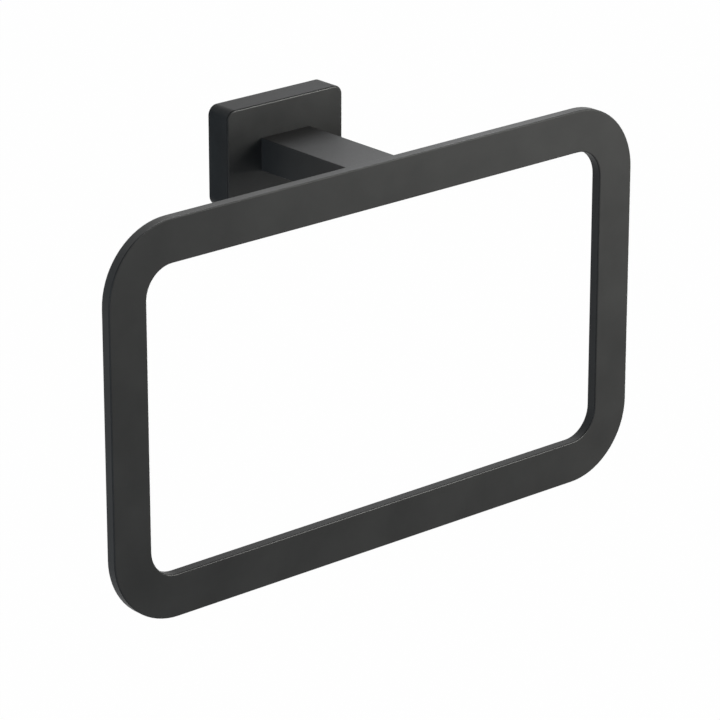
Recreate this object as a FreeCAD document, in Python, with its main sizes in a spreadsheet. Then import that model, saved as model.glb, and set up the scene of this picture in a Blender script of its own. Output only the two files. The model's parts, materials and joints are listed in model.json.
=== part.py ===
# Towel ring: a flat rectangular ring on a square post, with a wall cover and a hidden bracket.
# Millimetres. X runs along the ring, Y runs into the wall and Z is up.
# The origin lies on the wall, behind the middle of the cover.
import FreeCAD
import Part
import Sketcher
import math
import os

from FreeCAD import Placement, Rotation, Vector

os.makedirs("parts", exist_ok=True)
doc = FreeCAD.newDocument("TowelRing")

# Driving dimensions
dimensions = {
    "ringWidth": 227,
    "ringHeight": 136,
    "ringBarWidth": 15,
    "ringBarThickness": 4,
    "ringCornerRadius": 25.5,
    "openingCornerRadius": 10.5,
    "ringEdgeRadius": 0.5,
    "ringRiseAbovePost": 1.4,
    "postWidth": 21,
    "postHeight": 11.4,
    "postLength": 46,
    "postEdgeRadius": 0.25,
    "tapDepth": 12,
    "coverWidth": 50,
    "coverHeight": 35,
    "coverDepth": 10,
    "coverCornerRadius": 3.5,
    "coverEdgeRadius": 0.6,
    "coverSideWall": 2.2,
    "coverFrontWall": 2.5,
    "coverInsideRadius": 1.5,
    "seatHeight": 2.5,
    "seatSetback": 1,
    "topSeatWidth": 3,
    "topSeatSpacing": 24,
    "grubBossWidth": 10,
    "bracketWidth": 42,
    "bracketDepth": 6.8,
    "bracketSheet": 1.5,
    "bracketBendRadius": 1,
    "bracketCornerRadius": 2,
    "slotSpacing": 30,
    "slotWidth": 5,
    "slotLength": 8,
    "postScrewSpacing": 10,
    "postScrewDiameter": 4,
    "postScrewLength": 12,
    "panHeadDiameter": 8,
    "panHeadHeight": 2.6,
    "panHeadEdge": 1,
    "crossWidth": 4.4,
    "crossSlot": 1,
    "crossDepth": 1.6,
    "washerDiameter": 7.6,
    "washerThickness": 0.9,
    "washerSlit": 0.8,
    "grubDiameter": 4,
    "grubLength": 6,
    "grubFromWall": 3.8,
    "grubRecess": 0.3,
    "grubPoint": 1.2,
    "hexSocket": 2,
    "hexSocketDepth": 2.2,
    "screwPoint": 0.6,
    "seatClearance": 0.1,
    "holeClearance": 0.2,
    "threadClearance": 0.05,
}

sizes = doc.addObject("Spreadsheet::Sheet", "sizes")
for row, (alias, dimension) in enumerate(dimensions.items(), start=1):
    sizes.set(f"A{row}", alias)
    sizes.set(f"B{row}", str(dimension))
    sizes.setAlias(f"B{row}", alias)
doc.recompute()


def value(expression):
    """What an expression on the sheet comes to, for a sketch's first guess."""
    return float(sizes.evalExpression(expression))


def newBody(label, x="0", y="0", z="0"):
    body = doc.addObject("PartDesign::Body", label)
    body.Label = label
    body.setExpression("Placement.Base.x", x)
    body.setExpression("Placement.Base.y", y)
    body.setExpression("Placement.Base.z", z)
    return body


def newSketch(body, name, plane, offset="0"):
    """A sketch on one of the body's own origin planes, or at an offset from it."""
    sketch = body.newObject("Sketcher::SketchObject", name)
    support = [feature for feature in body.Origin.OriginFeatures if feature.Role == plane]
    sketch.AttachmentSupport = [(support[0], "")]
    sketch.MapMode = "FlatFace"
    sketch.setExpression("AttachmentOffset.Base.z", offset)
    return sketch


def bind(sketch, kind, *references, to):
    """A dimension of the sketch that follows an expression."""
    index = sketch.addConstraint(Sketcher.Constraint(kind, *references, value(to)))
    sketch.setExpression(f"Constraints[{index}]", to)


def placePoint(sketch, geometry, end, x, y):
    for kind, axis, place in (("DistanceX", -2, x), ("DistanceY", -1, y)):
        if place == "0":
            sketch.addConstraint(Sketcher.Constraint("PointOnObject", geometry, end, axis))
        else:
            bind(sketch, kind, -1, 1, geometry, end, to=place)


def addCircle(sketch, diameter, x="0", y="0"):
    centre = Vector(value(x), value(y), 0)
    circle = sketch.addGeometry(Part.Circle(centre, Vector(0, 0, 1), value(diameter) / 2))
    bind(sketch, "Diameter", circle, to=diameter)
    placePoint(sketch, circle, 3, x, y)


def addOutline(sketch, corners):
    """A closed run of straight lines. Each corner is a pair of expressions."""
    points = [Vector(value(x), value(y), 0) for x, y in corners]
    first = sketch.GeometryCount
    count = len(points)
    for here in range(count):
        sketch.addGeometry(Part.LineSegment(points[here], points[(here + 1) % count]))
    for here in range(count):
        after = first + (here + 1) % count
        sketch.addConstraint(Sketcher.Constraint("Coincident", first + here, 2, after, 1))
    for here, (x, y) in enumerate(corners):
        placePoint(sketch, first + here, 1, x, y)


def addRectangle(sketch, width, height, x="0", y="0"):
    """A rectangle about the point x, y."""
    left, right = f"{x} - {width} / 2", f"{x} + {width} / 2"
    low, high = f"{y} - {height} / 2", f"{y} + {height} / 2"
    addOutline(sketch, [(left, low), (right, low), (right, high), (left, high)])


def addRoundedRectangle(sketch, width, height, radius):
    """A rectangle with round corners about the sketch's origin."""
    across, up, bend = value(width) / 2, value(height) / 2, value(radius)
    first = sketch.GeometryCount
    signs = [(1, -1), (1, 1), (-1, 1), (-1, -1)]
    for here, (side, level) in enumerate(signs):
        centre = Vector(side * (across - bend), level * (up - bend), 0)
        circle = Part.Circle(centre, Vector(0, 0, 1), bend)
        start = math.radians(90 * here - 90)
        sketch.addGeometry(Part.ArcOfCircle(circle, start, start + math.pi / 2))
    arcs = [sketch.Geometry[first + here] for here in range(4)]
    for here in range(4):
        sketch.addGeometry(Part.LineSegment(arcs[here].EndPoint, arcs[(here + 1) % 4].StartPoint))
    for here in range(4):
        line, after = first + 4 + here, first + (here + 1) % 4
        sketch.addConstraint(Sketcher.Constraint("Tangent", first + here, 2, line, 1))
        sketch.addConstraint(Sketcher.Constraint("Tangent", line, 2, after, 1))
        direction = "Vertical" if here % 2 == 0 else "Horizontal"
        sketch.addConstraint(Sketcher.Constraint(direction, line))
    for here in range(1, 4):
        sketch.addConstraint(Sketcher.Constraint("Equal", first, first + here))
    sketch.addConstraint(Sketcher.Constraint("Symmetric", first, 3, first + 2, 3, -1, 1))
    bind(sketch, "Radius", first, to=radius)
    bind(sketch, "DistanceX", first + 6, 1, first + 4, 1, to=width)
    bind(sketch, "DistanceY", first + 7, 1, first + 5, 1, to=height)


def addSlot(sketch, length, width, x):
    """A slot along the sketch's X axis with its middle at x."""
    reach = f"({length} - {width}) / 2"
    half = value(width) / 2
    left = Vector(value(f"{x} - {reach}"), 0, 0)
    right = Vector(value(f"{x} + {reach}"), 0, 0)
    up = Vector(0, half, 0)
    first = sketch.GeometryCount
    rightCircle = Part.Circle(right, Vector(0, 0, 1), half)
    leftCircle = Part.Circle(left, Vector(0, 0, 1), half)
    sketch.addGeometry(Part.ArcOfCircle(rightCircle, -math.pi / 2, math.pi / 2))
    sketch.addGeometry(Part.LineSegment(right + up, left + up))
    sketch.addGeometry(Part.ArcOfCircle(leftCircle, math.pi / 2, 3 * math.pi / 2))
    sketch.addGeometry(Part.LineSegment(left - up, right - up))
    for here in range(4):
        after = first + (here + 1) % 4
        sketch.addConstraint(Sketcher.Constraint("Tangent", first + here, 2, after, 1))
    sketch.addConstraint(Sketcher.Constraint("Equal", first, first + 2))
    bind(sketch, "Diameter", first, to=width)
    placePoint(sketch, first, 3, f"{x} + {reach}", "0")
    placePoint(sketch, first + 2, 3, f"{x} - {reach}", "0")


def addHexagon(sketch, acrossFlats):
    corner = f"{acrossFlats} / sqrt(3)"
    slant = f"{acrossFlats} / (2 * sqrt(3))"
    flat = f"{acrossFlats} / 2"
    low = f"0 - {flat}"
    addOutline(sketch, [
        (corner, "0"), (slant, flat), (f"0 - {slant}", flat),
        (f"0 - {corner}", "0"), (f"0 - {slant}", low), (slant, low),
    ])


def pad(body, sketch, length, reverse=False, bothWays=False):
    feature = body.newObject("PartDesign::Pad", sketch.Name + "Pad")
    feature.Profile = sketch
    feature.setExpression("Length", length)
    feature.Reversed = reverse
    feature.Midplane = bothWays
    finish(sketch)
    return feature


def pocket(body, sketch, depth=None, reverse=False, taper=0):
    """A cut to a depth, or through everything on its side of the sketch."""
    feature = body.newObject("PartDesign::Pocket", sketch.Name + "Pocket")
    feature.Profile = sketch
    feature.Reversed = reverse
    if depth:
        feature.setExpression("Length", depth)
        feature.TaperAngle = taper
    else:
        feature.Type = "ThroughAll"
    finish(sketch)
    return feature


def revolve(body, sketch, axis):
    feature = body.newObject("PartDesign::Revolution", sketch.Name + "Revolution")
    feature.Profile = sketch
    feature.ReferenceAxis = (sketch, [axis])
    feature.Angle = 360
    finish(sketch)
    return feature


def fillet(body, base, radius, chosen):
    """Round the edges of the last feature that a test picks."""
    edges = [f"Edge{number}" for number, edge in enumerate(base.Shape.Edges, start=1) if chosen(edge)]
    feature = body.newObject("PartDesign::Fillet", base.Name + "Fillet")
    feature.Base = (base, edges)
    feature.setExpression("Radius", radius)
    doc.recompute()
    return feature


def finish(sketch):
    sketch.Visibility = False
    doc.recompute()


def liesFlat(edge, level=None):
    """Whether an edge lies in a plane across Y, and at a level if one is given."""
    box = edge.BoundBox
    return box.YLength < 0.001 and (level is None or abs(box.YMin - level) < 0.001)


def runsAlong(edge, axis):
    """Whether an edge is straight and parallel to an axis."""
    if edge.Curve.TypeId != "Part::GeomLine":
        return False
    return abs(abs(edge.Curve.Direction.dot(axis)) - 1) < 0.001


# Places that more than one piece works from. The wall is at Y 0 and outwards is -Y.
postFoot = "(0 - sizes.coverDepth)"
ringBack = f"({postFoot} - sizes.postLength)"
ringMiddle = "(sizes.postHeight / 2 + sizes.ringRiseAbovePost - sizes.ringHeight / 2)"
insideFront = "(sizes.coverDepth - sizes.coverFrontWall)"
insideHeight = "(sizes.coverHeight - 2 * sizes.coverSideWall)"
insideWidth = "(sizes.coverWidth - 2 * sizes.coverSideWall)"
bracketHeight = f"({insideHeight} - 2 * sizes.seatHeight - 2 * sizes.seatClearance)"
headSeat = f"(0 - {insideFront} + sizes.washerThickness)"
screwHole = "(sizes.postScrewDiameter + 2 * sizes.holeClearance)"
postTap = "(sizes.postScrewDiameter + 2 * sizes.threadClearance)"
grubTap = "(sizes.grubDiameter + 2 * sizes.threadClearance)"


def makeRing():
    """Flat bar in a closed rectangle, with every edge slightly rounded."""
    body = newBody("ring", y=ringBack, z=ringMiddle)
    outline = newSketch(body, "ringOutline", "XZ_Plane")
    addRoundedRectangle(outline, "sizes.ringWidth", "sizes.ringHeight", "sizes.ringCornerRadius")
    openingWidth = "(sizes.ringWidth - 2 * sizes.ringBarWidth)"
    openingHeight = "(sizes.ringHeight - 2 * sizes.ringBarWidth)"
    addRoundedRectangle(outline, openingWidth, openingHeight, "sizes.openingCornerRadius")
    bar = pad(body, outline, "sizes.ringBarThickness")
    fillet(body, bar, "sizes.ringEdgeRadius", liesFlat)
    return body


def makePost():
    """Solid rectangular bar, tapped from behind for its two screws."""
    body = newBody("post", y=postFoot)
    section = newSketch(body, "postSection", "XZ_Plane")
    addRectangle(section, "sizes.postWidth", "sizes.postHeight")
    bar = pad(body, section, "sizes.postLength")
    fillet(body, bar, "sizes.postEdgeRadius", lambda edge: runsAlong(edge, Vector(0, 1, 0)))
    taps = newSketch(body, "postTaps", "XZ_Plane")
    for side in (-1, 1):
        addCircle(taps, postTap, f"{side} * sizes.postScrewSpacing / 2")
    pocket(body, taps, "sizes.tapDepth", reverse=True)
    return body


def makeWallCover():
    """Shallow box, open to the wall, with seats inside for the bracket and the grub screw."""
    body = newBody("wall_cover")
    outline = newSketch(body, "coverOutline", "XZ_Plane")
    addRoundedRectangle(outline, "sizes.coverWidth", "sizes.coverHeight", "sizes.coverCornerRadius")
    block = pad(body, outline, "sizes.coverDepth")
    front = value("0 - sizes.coverDepth")
    fillet(body, block, "sizes.coverEdgeRadius", lambda edge: liesFlat(edge, front))

    hollow = newSketch(body, "coverHollow", "XZ_Plane")
    addRoundedRectangle(hollow, insideWidth, insideHeight, "sizes.coverInsideRadius")
    pocket(body, hollow, insideFront, reverse=True)

    # Two seats hang on the bracket's upper flange, and a boss below takes the grub screw.
    seats = newSketch(body, "coverSeats", "XZ_Plane", offset="sizes.seatSetback")
    seatMiddle = f"({insideHeight} - sizes.seatHeight) / 2"
    for side in (-1, 1):
        seatPlace = f"{side} * sizes.topSeatSpacing / 2"
        addRectangle(seats, "sizes.topSeatWidth", "sizes.seatHeight", seatPlace, seatMiddle)
    addRectangle(seats, "sizes.grubBossWidth", "sizes.seatHeight", "0", f"0 - {seatMiddle}")
    pad(body, seats, f"{insideFront} - sizes.seatSetback")

    screwHoles = newSketch(body, "coverScrewHoles", "XZ_Plane")
    for side in (-1, 1):
        addCircle(screwHoles, screwHole, f"{side} * sizes.postScrewSpacing / 2")
    pocket(body, screwHoles, reverse=True)

    grubHole = newSketch(body, "coverGrubHole", "XY_Plane")
    addCircle(grubHole, grubTap, "0", "0 - sizes.grubFromWall")
    pocket(body, grubHole)
    return body


def makeWallBracket():
    """Sheet bent to a channel, slotted for the wall and holed for the grub screw's point."""
    body = newBody("wall_bracket")
    section = newSketch(body, "bracketSection", "YZ_Plane")
    top, inner = f"{bracketHeight} / 2", f"{bracketHeight} / 2 - sizes.bracketSheet"
    addOutline(section, [
        ("0", top), ("0 - sizes.bracketDepth", top), ("0 - sizes.bracketDepth", inner),
        ("0 - sizes.bracketSheet", inner), ("0 - sizes.bracketSheet", f"0 - ({inner})"),
        ("0 - sizes.bracketDepth", f"0 - ({inner})"), ("0 - sizes.bracketDepth", f"0 - {top}"),
        ("0", f"0 - {top}"),
    ])
    channel = pad(body, section, "sizes.bracketWidth", bothWays=True)

    def isBend(edge, level):
        return runsAlong(edge, Vector(1, 0, 0)) and abs(edge.BoundBox.YMin - level) < 0.001

    insideBend = value("0 - sizes.bracketSheet")
    bent = fillet(body, channel, "sizes.bracketBendRadius", lambda edge: isBend(edge, insideBend))
    bent = fillet(body, bent, "sizes.bracketBendRadius + sizes.bracketSheet", lambda edge: isBend(edge, 0))
    lip = value("0 - sizes.bracketDepth")

    def isFlangeCorner(edge):
        return runsAlong(edge, Vector(0, 0, 1)) and abs(edge.BoundBox.YMin - lip) < 0.001

    fillet(body, bent, "sizes.bracketCornerRadius", isFlangeCorner)

    slots = newSketch(body, "bracketSlots", "XZ_Plane")
    for side in (-1, 1):
        addSlot(slots, "sizes.slotLength", "sizes.slotWidth", f"{side} * sizes.slotSpacing / 2")
    pocket(body, slots, "2 * sizes.bracketSheet", reverse=True)

    pointHole = newSketch(body, "bracketPointHole", "XY_Plane")
    addCircle(pointHole, "sizes.grubDiameter + 2 * sizes.holeClearance", "0", "0 - sizes.grubFromWall")
    pocket(body, pointHole)
    return body


def makeGrubScrew():
    """Socket set screw with a cone point. It stands in the cover's underside, point up."""
    body = newBody("grub_screw", y="0 - sizes.grubFromWall", z="sizes.grubRecess - sizes.coverHeight / 2")
    profile = newSketch(body, "grubProfile", "XZ_Plane")
    radius = "sizes.grubDiameter / 2"
    addOutline(profile, [
        ("0", "0"), (f"{radius} - 0.3", "0"), (radius, "0.3"),
        (radius, "sizes.grubLength - sizes.grubPoint"),
        (f"{radius} - sizes.grubPoint", "sizes.grubLength"), ("0", "sizes.grubLength"),
    ])
    revolve(body, profile, "V_Axis")
    socket = newSketch(body, "grubSocket", "XY_Plane")
    addHexagon(socket, "sizes.hexSocket")
    pocket(body, socket, "sizes.hexSocketDepth", reverse=True)
    return body


def makePostScrews():
    """Two pan-head screws with a cross recess, from inside the cover into the post."""
    screws = []
    for name, side in (("postScrewLeft", -1), ("postScrewRight", 1)):
        body = newBody(name, x=f"{side} * sizes.postScrewSpacing / 2", y=headSeat)
        profile = newSketch(body, name + "Profile", "XY_Plane")
        radius, head = "sizes.postScrewDiameter / 2", "sizes.panHeadDiameter / 2"
        addOutline(profile, [
            ("0", "0 - sizes.postScrewLength"),
            (f"{radius} - sizes.screwPoint", "0 - sizes.postScrewLength"),
            (radius, "sizes.screwPoint - sizes.postScrewLength"),
            (radius, "0"), (head, "0"), (head, "sizes.panHeadHeight - sizes.panHeadEdge"),
            (f"{head} - sizes.panHeadEdge", "sizes.panHeadHeight"), ("0", "sizes.panHeadHeight"),
        ])
        revolve(body, profile, "V_Axis")
        cross = newSketch(body, name + "Cross", "XZ_Plane", offset="0 - sizes.panHeadHeight")
        arm, slot = "sizes.crossWidth / 2", "sizes.crossSlot / 2"
        addOutline(cross, [
            (arm, f"0 - {slot}"), (arm, slot), (slot, slot), (slot, arm),
            (f"0 - {slot}", arm), (f"0 - {slot}", slot), (f"0 - {arm}", slot),
            (f"0 - {arm}", f"0 - {slot}"), (f"0 - {slot}", f"0 - {slot}"), (f"0 - {slot}", f"0 - {arm}"),
            (slot, f"0 - {arm}"), (slot, f"0 - {slot}"),
        ])
        pocket(body, cross, "sizes.crossDepth", reverse=True)
        screws.append(body)
    group = doc.addObject("Part::Compound", "post_screws")
    group.Links = screws
    return group


def makeLockWashers():
    """A split washer under each post screw's head, seated on the cover's inside face."""
    washers = []
    for name, side in (("lockWasherLeft", -1), ("lockWasherRight", 1)):
        disc = doc.addObject("Part::Cylinder", name + "Disc")
        disc.setExpression("Radius", "sizes.washerDiameter / 2")
        disc.setExpression("Height", "sizes.washerThickness")
        bore = doc.addObject("Part::Cylinder", name + "Bore")
        bore.setExpression("Radius", f"{screwHole} / 2")
        bore.setExpression("Height", "sizes.washerThickness")
        slit = doc.addObject("Part::Box", name + "Slit")
        slit.setExpression("Length", "sizes.washerDiameter")
        slit.setExpression("Width", "sizes.washerSlit")
        slit.setExpression("Height", "sizes.washerThickness")
        slit.setExpression("Placement.Base.x", f"({side} - 1) / 2 * sizes.washerDiameter")
        slit.setExpression("Placement.Base.y", "0 - sizes.washerSlit / 2")
        ringShape = doc.addObject("Part::Cut", name + "Ring")
        ringShape.Base = disc
        ringShape.Tool = bore
        washer = doc.addObject("Part::Cut", name)
        washer.Base = ringShape
        washer.Tool = slit
        washer.Placement = Placement(Vector(0, 0, 0), Rotation(Vector(1, 0, 0), -90))
        washer.setExpression("Placement.Base.x", f"{side} * sizes.postScrewSpacing / 2")
        washer.setExpression("Placement.Base.y", f"0 - {insideFront}")
        washers.append(washer)
    group = doc.addObject("Part::Compound", "lock_washers")
    group.Links = washers
    return group


pieces = [
    makeRing(), makePost(), makeWallCover(), makeWallBracket(),
    makeGrubScrew(), makePostScrews(), makeLockWashers(),
]
doc.recompute()

for item in doc.Objects:
    if "Invalid" in item.State or "Error" in item.State:
        raise RuntimeError(f"{item.Label} did not build: {item.State}")
for piece in pieces:
    if piece.Shape.isNull() or not piece.Shape.isValid():
        raise RuntimeError(f"{piece.Label} has no valid shape")
    piece.Shape.exportStep(os.path.join("parts", piece.Label + ".step"))
    box = piece.Shape.optimalBoundingBox(False)
    extent = f"{box.XLength:.1f} x {box.YLength:.1f} x {box.ZLength:.1f}"
    print(f"{piece.Label}: {len(piece.Shape.Solids)} solid, {extent}")
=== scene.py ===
import json
import math

import bpy
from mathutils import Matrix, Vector

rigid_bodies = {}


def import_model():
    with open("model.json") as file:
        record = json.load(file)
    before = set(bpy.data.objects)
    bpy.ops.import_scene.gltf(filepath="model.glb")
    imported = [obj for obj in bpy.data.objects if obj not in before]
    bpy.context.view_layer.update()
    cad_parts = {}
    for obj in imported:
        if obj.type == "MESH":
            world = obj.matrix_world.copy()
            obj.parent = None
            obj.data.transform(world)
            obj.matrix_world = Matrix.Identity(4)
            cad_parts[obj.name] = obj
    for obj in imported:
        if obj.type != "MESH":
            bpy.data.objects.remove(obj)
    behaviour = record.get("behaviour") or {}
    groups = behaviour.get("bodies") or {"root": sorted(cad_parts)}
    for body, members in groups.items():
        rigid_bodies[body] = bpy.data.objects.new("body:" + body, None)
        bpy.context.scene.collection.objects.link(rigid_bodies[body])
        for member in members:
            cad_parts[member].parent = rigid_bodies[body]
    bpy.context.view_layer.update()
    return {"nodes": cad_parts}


for leftOver in list(bpy.data.objects):  # whatever Blender opened with
    bpy.data.objects.remove(leftOver)

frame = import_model()
print("frame loaded")


# A socket that can be used in sums, so that 1 - mask makes its Math node.
class Wire:
    def __init__(self, tree, socket=None):
        self.tree = tree
        self.socket = socket

    def node(self, kind, settings=None, inputs=None, output=0):
        made = self.tree.nodes.new("ShaderNode" + kind)
        for name, setting in (settings or {}).items():
            setattr(made, name, setting)
        for name, given in (inputs or {}).items():
            if isinstance(given, Wire):
                self.tree.links.new(given.socket, made.inputs[name])
            else:
                made.inputs[name].default_value = given
        return Wire(self.tree, made.outputs[output] if len(made.outputs) else None)

    def maths(self, operation, first, second):
        return self.node("Math", {"operation": operation}, {0: first, 1: second})

    def __add__(self, other):
        return self.maths("ADD", self, other)

    def __radd__(self, other):
        return self.maths("ADD", other, self)

    def __sub__(self, other):
        return self.maths("SUBTRACT", self, other)

    def __rsub__(self, other):
        return self.maths("SUBTRACT", other, self)

    def __mul__(self, other):
        return self.maths("MULTIPLY", self, other)

    def __rmul__(self, other):
        return self.maths("MULTIPLY", other, self)


def newMaterial(name):
    material = bpy.data.materials.new(name)
    material.use_nodes = True
    material.node_tree.nodes.clear()
    return material, Wire(material.node_tree)


def place(sheet, stretch=(1, 1, 1)):
    # the piece's own coordinates in metres, stretched for rolled or turned grain
    spot = sheet.node("TexCoord", output="Object")
    return sheet.node("Mapping", {"vector_type": "POINT"}, {"Vector": spot, "Scale": stretch})


def speckle(sheet, spot, size, detail=2, rough=0.5):
    return sheet.node("TexNoise", {"noise_dimensions": "3D"}, {
        "Vector": spot, "Scale": 1 / size, "Detail": detail, "Roughness": rough})


def spread(sheet, wire, low, high):
    # stretches the middle of a noise over the whole range from 0 to 1
    return sheet.node("MapRange", {"clamp": True}, {
        "Value": wire, "From Min": low, "From Max": high, "To Min": 0, "To Max": 1})


def blendShades(sheet, factor, first, second):
    return sheet.node("Mix", {"data_type": "RGBA"}, {0: factor, 6: (*first, 1), 7: (*second, 1)}, 2)


def closeSurface(sheet, surface):
    sheet.node("OutputMaterial", None, {"Surface": surface})


# Satin black powder coat: a fine sprayed grain over a long, faint orange peel. Along some rounded
# edges it has drawn back and is glossier, which shows a thin light line; the dark line beside it is
# painted shade in the coat's colour.
powderCoat = {
    "shade": (0.0161, 0.0161, 0.0158),
    "dustyShade": (0.0281, 0.0281, 0.0274),
    # painted shade: the colour of the dark line laid along rounded edges
    "paintedShadeLineColour": (0.0030, 0.0030, 0.0030),
    "cloudShare": 0.85,
    "roughness": 0.458,
    "cloudRoughness": 0.036,
    "fleckRoughness": 0.048,
    "grainSize": 0.00042,
    "grainHeight": 0.0000035,
    "peelSize": 0.0024,
    "peelHeight": 0.000012,
    "cloudSize": 0.020,
    "cloudLimits": (0.3, 0.7),
    "fleckLimits": (0.35, 0.75),
    "paintedShadeLine": (0.05, 0.20, 0.62, 0.80),  # where the lines lie on a rounded edge, see edgeLine
    "lightLine": (0.70, 0.86, 0.975, 0.998),
    "lightLineRoughness": 0.24,
    "lightLineCoatRoughness": 0.18,
    "lightLineSmoothing": 0.85,
}

# Where the coat differs from piece to piece. The cover's colour is made 1.4 times lighter than the
# same coat on the ring: painted light, standing in for light the lamps leave off its front. The
# ring has the lines around its opening only, and the dark one, painted shade, also along its left
# side.
coats = {
    "ring": {"specular": 0.17, "tone": 1.00, "lineGloss": 0.06, "lines": "opening"},
    "post": {"specular": 0.17, "tone": 1.00, "lineGloss": 0, "lines": "none"},
    "wall_cover": {"specular": 0.12, "tone": 1.40, "lineGloss": 0.18, "lines": "all"},
}
opening = {"width": 0.197, "height": 0.106, "middle": -0.0609, "margin": 0.001}
ringLeft = {"full": -0.104, "end": -0.094}  # from the ring's left side to where its corners turn


def edgeLine(sheet, start, full, fade, end):
    # 1 where a rounded edge has turned by a share of the way from a side to the front or back
    normal = sheet.node("TexCoord", output="Normal")
    depth = sheet.node("SeparateXYZ", None, {"Vector": normal}, "Y")
    depth = depth.maths("ABSOLUTE", depth, 0)
    return spread(sheet, depth, start, full) * (1 - spread(sheet, depth, fade, end))


def aroundOpening(sheet, spot):
    # 1 in the ring's opening and a little way around it, 0 further out
    across = sheet.node("SeparateXYZ", None, {"Vector": spot}, "X")
    height = sheet.node("SeparateXYZ", None, {"Vector": spot}, "Z") - opening["middle"]
    pastSide = across.maths("ABSOLUTE", across, 0) - opening["width"] / 2
    pastEnd = height.maths("ABSOLUTE", height, 0) - opening["height"] / 2
    beyond = across.maths("MAXIMUM", pastSide, pastEnd)
    return 1 - spread(sheet, beyond, opening["margin"], 1.5 * opening["margin"])


def alongLeft(sheet, spot):
    # 1 on the ring's left side, 0 from where its corners have turned; the painted shade line runs
    # there
    across = sheet.node("SeparateXYZ", None, {"Vector": spot}, "X")
    return 1 - spread(sheet, across, ringLeft["full"], ringLeft["end"])


def makePowderCoat(piece):
    values, own = powderCoat, coats[piece]
    material, sheet = newMaterial("powderCoat." + piece)
    spot = place(sheet)
    grain = speckle(sheet, spot, values["grainSize"], 2, 0.55)
    peel = speckle(sheet, spot, values["peelSize"], 1, 0.4)
    cloud = spread(sheet, speckle(sheet, spot, values["cloudSize"], 3, 0.5), *values["cloudLimits"])
    flecks = spread(sheet, grain, *values["fleckLimits"])
    # the tone scale lightens a coat's colours; on the cover it is painted light
    light, dark = [[own["tone"] * part for part in values[key]] for key in ("dustyShade", "shade")]
    share = values["cloudShare"]
    shade = blendShades(sheet, share * cloud + (1 - share) * flecks, dark, light)
    rough = values["roughness"] + values["cloudRoughness"] * cloud
    rough = rough + values["fleckRoughness"] * flecks
    height = grain * values["grainHeight"] + peel * values["peelHeight"]
    inputs = {"Specular IOR Level": own["specular"], "IOR": 1.5}
    if own["lines"] != "none":
        paintedShadeLine = edgeLine(sheet, *values["paintedShadeLine"])
        lightLine = edgeLine(sheet, *values["lightLine"])
        if own["lines"] == "opening":
            where = aroundOpening(sheet, spot)
            lightLine = lightLine * where
            paintedShadeLine = paintedShadeLine * where.maths("MAXIMUM", where, alongLeft(sheet, spot))
        # Painted shade: the dark line darkens the coat's colour where a rounded edge turns.
        shade = sheet.node("Mix", {"data_type": "RGBA"}, {
            0: paintedShadeLine, 6: shade, 7: (*values["paintedShadeLineColour"], 1)}, 2)
        rough = rough + lightLine * (values["lightLineRoughness"] - rough)
        inputs |= {"Coat Weight": lightLine * own["lineGloss"],
                   "Coat Roughness": values["lightLineCoatRoughness"]}
        height = height * (1 - values["lightLineSmoothing"] * lightLine)
    bump = sheet.node("Bump", None, {"Strength": 1, "Distance": 1, "Height": height})
    surface = sheet.node("BsdfPrincipled", {"distribution": "MULTI_GGX"}, {
        "Base Color": shade, "Roughness": rough, "Normal": bump, **inputs})
    closeSurface(sheet, surface)
    return material


# Zinc-plated steel sheet: rolled lines along its length, cloudy blue and straw tinges.
zincPlate = {
    "shade": (0.60, 0.62, 0.64),
    "strawShade": (0.62, 0.60, 0.52),
    "dullShade": (0.44, 0.46, 0.49),
    "roughness": 0.34,
    "cloudRoughness": 0.12,
    "rolledRoughness": 0.10,
    "spangleSmoothing": 0.06,
    "cloudSize": 0.011,
    "tingeSize": 0.019,
    "tingeShare": 0.6,
    "rolledSize": 0.0005,
    "spangleSize": 0.0035,
    "scratchHeight": 0.0000022,
}


def makeZincPlate():
    values = zincPlate
    material, sheet = newMaterial("zincPlate")
    spot = place(sheet)
    rolled = speckle(sheet, place(sheet, (0.03, 1, 1)), values["rolledSize"], 3, 0.6)
    spangle = sheet.node("TexVoronoi", {"feature": "F1"}, {
        "Vector": spot, "Scale": 1 / values["spangleSize"], "Randomness": 1}, "Distance")
    cloud = spread(sheet, speckle(sheet, spot, values["cloudSize"], 3, 0.5), 0.35, 0.68)
    tinge = spread(sheet, speckle(sheet, spot, values["tingeSize"], 2, 0.5), 0.45, 0.70)
    base = blendShades(sheet, cloud, values["shade"], values["dullShade"])
    base = sheet.node("Mix", {"data_type": "RGBA"}, {
        0: values["tingeShare"] * tinge, 6: base, 7: (*values["strawShade"], 1)}, 2)
    rough = values["roughness"] + values["cloudRoughness"] * cloud
    rough = rough + values["rolledRoughness"] * rolled - values["spangleSmoothing"] * spangle
    height = rolled * values["scratchHeight"]
    bump = sheet.node("Bump", None, {"Strength": 1, "Distance": 1, "Height": height})
    surface = sheet.node("BsdfPrincipled", {"distribution": "MULTI_GGX"}, {
        "Base Color": base, "Metallic": 1, "Roughness": rough, "Normal": bump})
    closeSurface(sheet, surface)
    return material


# Bright turned steel for the machine screws and their washers.
screwSteel = {
    "shade": (0.55, 0.55, 0.56),
    "dullShade": (0.36, 0.36, 0.37),
    "roughness": 0.28,
    "cloudRoughness": 0.14,
    "turnedRoughness": 0.06,
    "cloudSize": 0.003,
    "turnedSize": 0.00022,
    "turnedHeight": 0.0000016,
}


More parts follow.
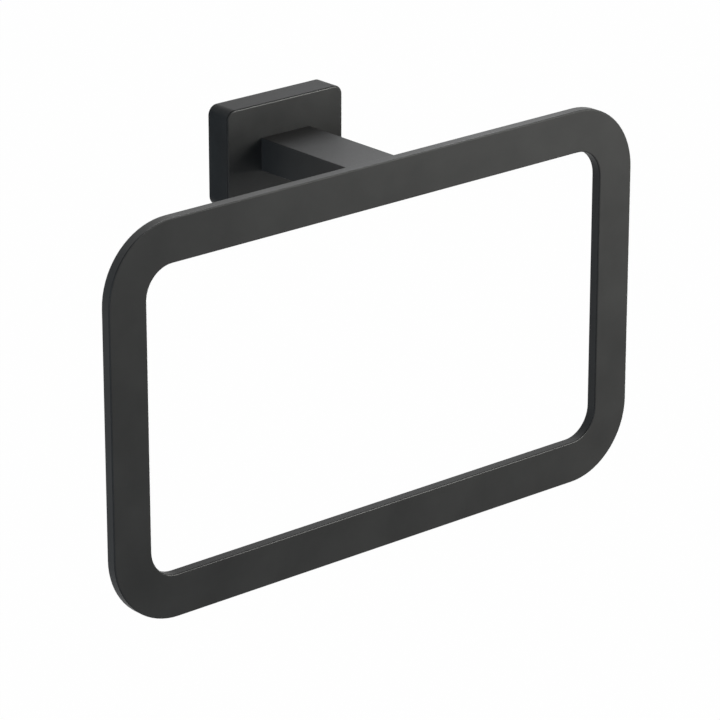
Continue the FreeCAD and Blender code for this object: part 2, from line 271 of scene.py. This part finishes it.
def makeScrewSteel():
    values = screwSteel
    material, sheet = newMaterial("screwSteel")
    turned = speckle(sheet, place(sheet, (0.2, 1, 0.2)), values["turnedSize"], 2, 0.5)
    cloud = spread(sheet, speckle(sheet, place(sheet), values["cloudSize"], 3, 0.5), 0.35, 0.68)
    base = blendShades(sheet, cloud, values["shade"], values["dullShade"])
    rough = values["roughness"] + values["cloudRoughness"] * cloud
    rough = rough + values["turnedRoughness"] * turned
    bump = sheet.node("Bump", None, {
        "Strength": 1, "Distance": 1, "Height": turned * values["turnedHeight"]})
    surface = sheet.node("BsdfPrincipled", {"distribution": "MULTI_GGX"}, {
        "Base Color": base, "Metallic": 1, "Roughness": rough, "Normal": bump})
    closeSurface(sheet, surface)
    return material


# Black oxide on the grub screw: oily black with a brown cast where it is thin.
blackOxide = {
    "shade": (0.030, 0.030, 0.033),
    "brownShade": (0.060, 0.048, 0.040),
    "metallic": 0.7,
    "roughness": 0.36,
    "blotchRoughness": 0.12,
    "grainRoughness": 0.06,
    "blotchSize": 0.0012,
    "grainSize": 0.00018,
    "grainHeight": 0.0000015,
}


def makeBlackOxide():
    values = blackOxide
    material, sheet = newMaterial("blackOxide")
    spot = place(sheet)
    blotch = spread(sheet, speckle(sheet, spot, values["blotchSize"], 3, 0.55), 0.45, 0.72)
    grain = speckle(sheet, spot, values["grainSize"], 2, 0.5)
    base = blendShades(sheet, blotch, values["shade"], values["brownShade"])
    rough = values["roughness"] + values["blotchRoughness"] * blotch
    rough = rough + values["grainRoughness"] * grain
    bump = sheet.node("Bump", None, {
        "Strength": 1, "Distance": 1, "Height": grain * values["grainHeight"]})
    surface = sheet.node("BsdfPrincipled", {"distribution": "MULTI_GGX"}, {
        "Base Color": base, "Metallic": values["metallic"], "Roughness": rough, "Normal": bump})
    closeSurface(sheet, surface)
    return material


def dress(node, material):
    slots = frame["nodes"][node].data.materials
    slots.clear()
    slots.append(material)


zinc = makeZincPlate()
steel = makeScrewSteel()
oxide = makeBlackOxide()
for piece in coats:
    dress(piece, makePowderCoat(piece))
dress("wall_bracket", zinc)
dress("post_screws", steel)
dress("lock_washers", steel)
dress("grub_screw", oxide)
print("finishes on the packed pieces")


studioFloor = {
    "width": 14,
    "height": -1.60,
    "shade": (0.86, 0.86, 0.86),
    "paleShade": (0.90, 0.90, 0.90),
    "toneSize": 0.6,
    "roughness": 0.5,
    "whiteness": 0.993,
}


def makeFloor():
    values = studioFloor
    bpy.ops.mesh.primitive_plane_add(size=values["width"], location=(0, 0, values["height"]))
    floor = bpy.context.object
    floor.name = "paleFloor"
    material, sheet = newMaterial("paleFloor")
    tone = spread(sheet, speckle(sheet, place(sheet), values["toneSize"], 2, 0.5), 0.3, 0.7)
    shade = blendShades(sheet, tone, values["shade"], values["paleShade"])
    matt = sheet.node("BsdfDiffuse", None, {"Color": shade, "Roughness": values["roughness"]})
    white = sheet.node("Emission", None, {"Color": (1, 1, 1, 1), "Strength": 1})
    surface = sheet.node("MixShader", None, {
        0: seenDirectly(sheet) * values["whiteness"], 1: matt, 2: white})
    closeSurface(sheet, surface)
    floor.data.materials.append(material)


def seenDirectly(sheet):
    # 1 for rays that show the backdrop itself: from the camera, in gloss or through glass
    camera = sheet.node("LightPath", output="Is Camera Ray")
    gloss = sheet.node("LightPath", output="Is Glossy Ray")
    glass = sheet.node("LightPath", output="Is Transmission Ray")
    return camera.maths("MAXIMUM", camera, camera.maths("MAXIMUM", gloss, glass))


# A narrow black flag behind the cover's left side, which keeps the white backdrop out of its coat.
flag = {
    "spot": (-0.0325, 0.004, -0.002),
    "width": 0.011,
    "height": 0.045,
    "shade": (0.01, 0.01, 0.01),
}


def makeFlag():
    across, up = flag["width"] / 2, flag["height"] / 2
    mesh = bpy.data.meshes.new("blackFlag")
    mesh.from_pydata([(-across, 0, -up), (across, 0, -up), (across, 0, up), (-across, 0, up)],
                     [], [(0, 1, 2, 3)])
    card = bpy.data.objects.new("blackFlag", mesh)
    card.location = flag["spot"]
    card.visible_camera = False
    bpy.context.scene.collection.objects.link(card)
    material, sheet = newMaterial("blackFlag")
    closeSurface(sheet, sheet.node("BsdfDiffuse", None, {"Color": (*flag["shade"], 1)}))
    mesh.materials.append(material)


room = {"ambient": (0.86, 1.0, 1.12), "level": 0.04}


def makeRoom():
    world = bpy.data.worlds.new("softRoom")
    bpy.context.scene.world = world
    world.use_nodes = True
    world.node_tree.nodes.clear()
    sheet = Wire(world.node_tree)
    soft = sheet.node("Background", None, {
        "Color": (*room["ambient"], 1), "Strength": room["level"]})
    white = sheet.node("Background", None, {"Color": (1, 1, 1, 1), "Strength": 1})
    surface = sheet.node("MixShader", None, {0: seenDirectly(sheet), 1: soft, 2: white})
    sheet.node("OutputWorld", None, {"Surface": surface})


# A lamp looks at the middle of the object, or at its own aim. The two over the ring stand in its
# plane, so that its upper bar keeps their light off the lower one.
target = Vector((0, -0.035, -0.055))
lamps = {
    "frontRight": {
        "spot": (0.30, -0.40, 0.072), "width": 0.23, "depth": 0.28,
        "watts": 2.58, "shade": (1, 1, 0.96)},
    "behindRight": {
        "spot": (0.26, 0.14, 0.24), "width": 0.20, "depth": 0.20,
        "watts": 0.41, "shade": (0.98, 1, 1.04)},
    "farSide": {  # for the back and the right side
        "spot": (0.50, 0.10, -0.25), "width": 0.30, "depth": 0.20,
        "watts": 2.0, "shade": (1, 1, 1)},
    "overLeft": {
        "spot": (-0.068, -0.058, 0.075), "aim": (-0.068, -0.143, 0.022),
        "width": 0.05, "depth": 0.006, "watts": 0.157, "shade": (1, 1, 1)},
    "overRight": {
        "spot": (0.075, -0.058, 0.075), "aim": (0.075, -0.143, 0.022),
        "width": 0.05, "depth": 0.006, "watts": 0.138, "shade": (1, 1, 1)},
    "left": {
        "spot": (-0.768, -0.25, -0.05), "width": 0.40, "depth": 0.40,
        "watts": 3.00, "shade": (0.83, 1, 1.17)},
}


def makeLamps():
    for name, values in lamps.items():
        light = bpy.data.lights.new(name, "AREA")
        light.shape = "RECTANGLE"
        light.size = values["width"]
        light.size_y = values["depth"]
        light.energy = values["watts"]
        light.color = values["shade"]
        lamp = bpy.data.objects.new(name, light)
        lamp.location = values["spot"]
        aim = Vector(values.get("aim", target))
        lamp.rotation_euler = (aim - lamp.location).to_track_quat("-Z", "Y").to_euler()
        lamp.visible_camera = False  # they stand near, and other viewpoints look past them
        bpy.context.scene.collection.objects.link(lamp)


# The viewpoint was worked out from the photograph's own edges.
viewpoint = {
    "spot": (-0.82622, -1.00277, 0.40531),
    "tilt": 69.566,
    "turn": -40.873,
    "lens": 201.597,
    "sensor": 36,
    "near": 0.01,
    "far": 60,
}


def makeCamera():
    data = bpy.data.cameras.new("viewpoint")
    data.sensor_width = viewpoint["sensor"]
    data.sensor_fit = "HORIZONTAL"
    data.lens = viewpoint["lens"]
    data.clip_start = viewpoint["near"]
    data.clip_end = viewpoint["far"]
    camera = bpy.data.objects.new("viewpoint", data)
    camera.location = viewpoint["spot"]
    camera.rotation_euler = (math.radians(viewpoint["tilt"]), 0, math.radians(viewpoint["turn"]))
    bpy.context.scene.collection.objects.link(camera)
    bpy.context.scene.camera = camera


makeFloor()
makeFlag()
makeRoom()
makeLamps()
makeCamera()
bpy.context.scene.view_settings.view_transform = "Standard"
print("floor, room, lamps and camera")
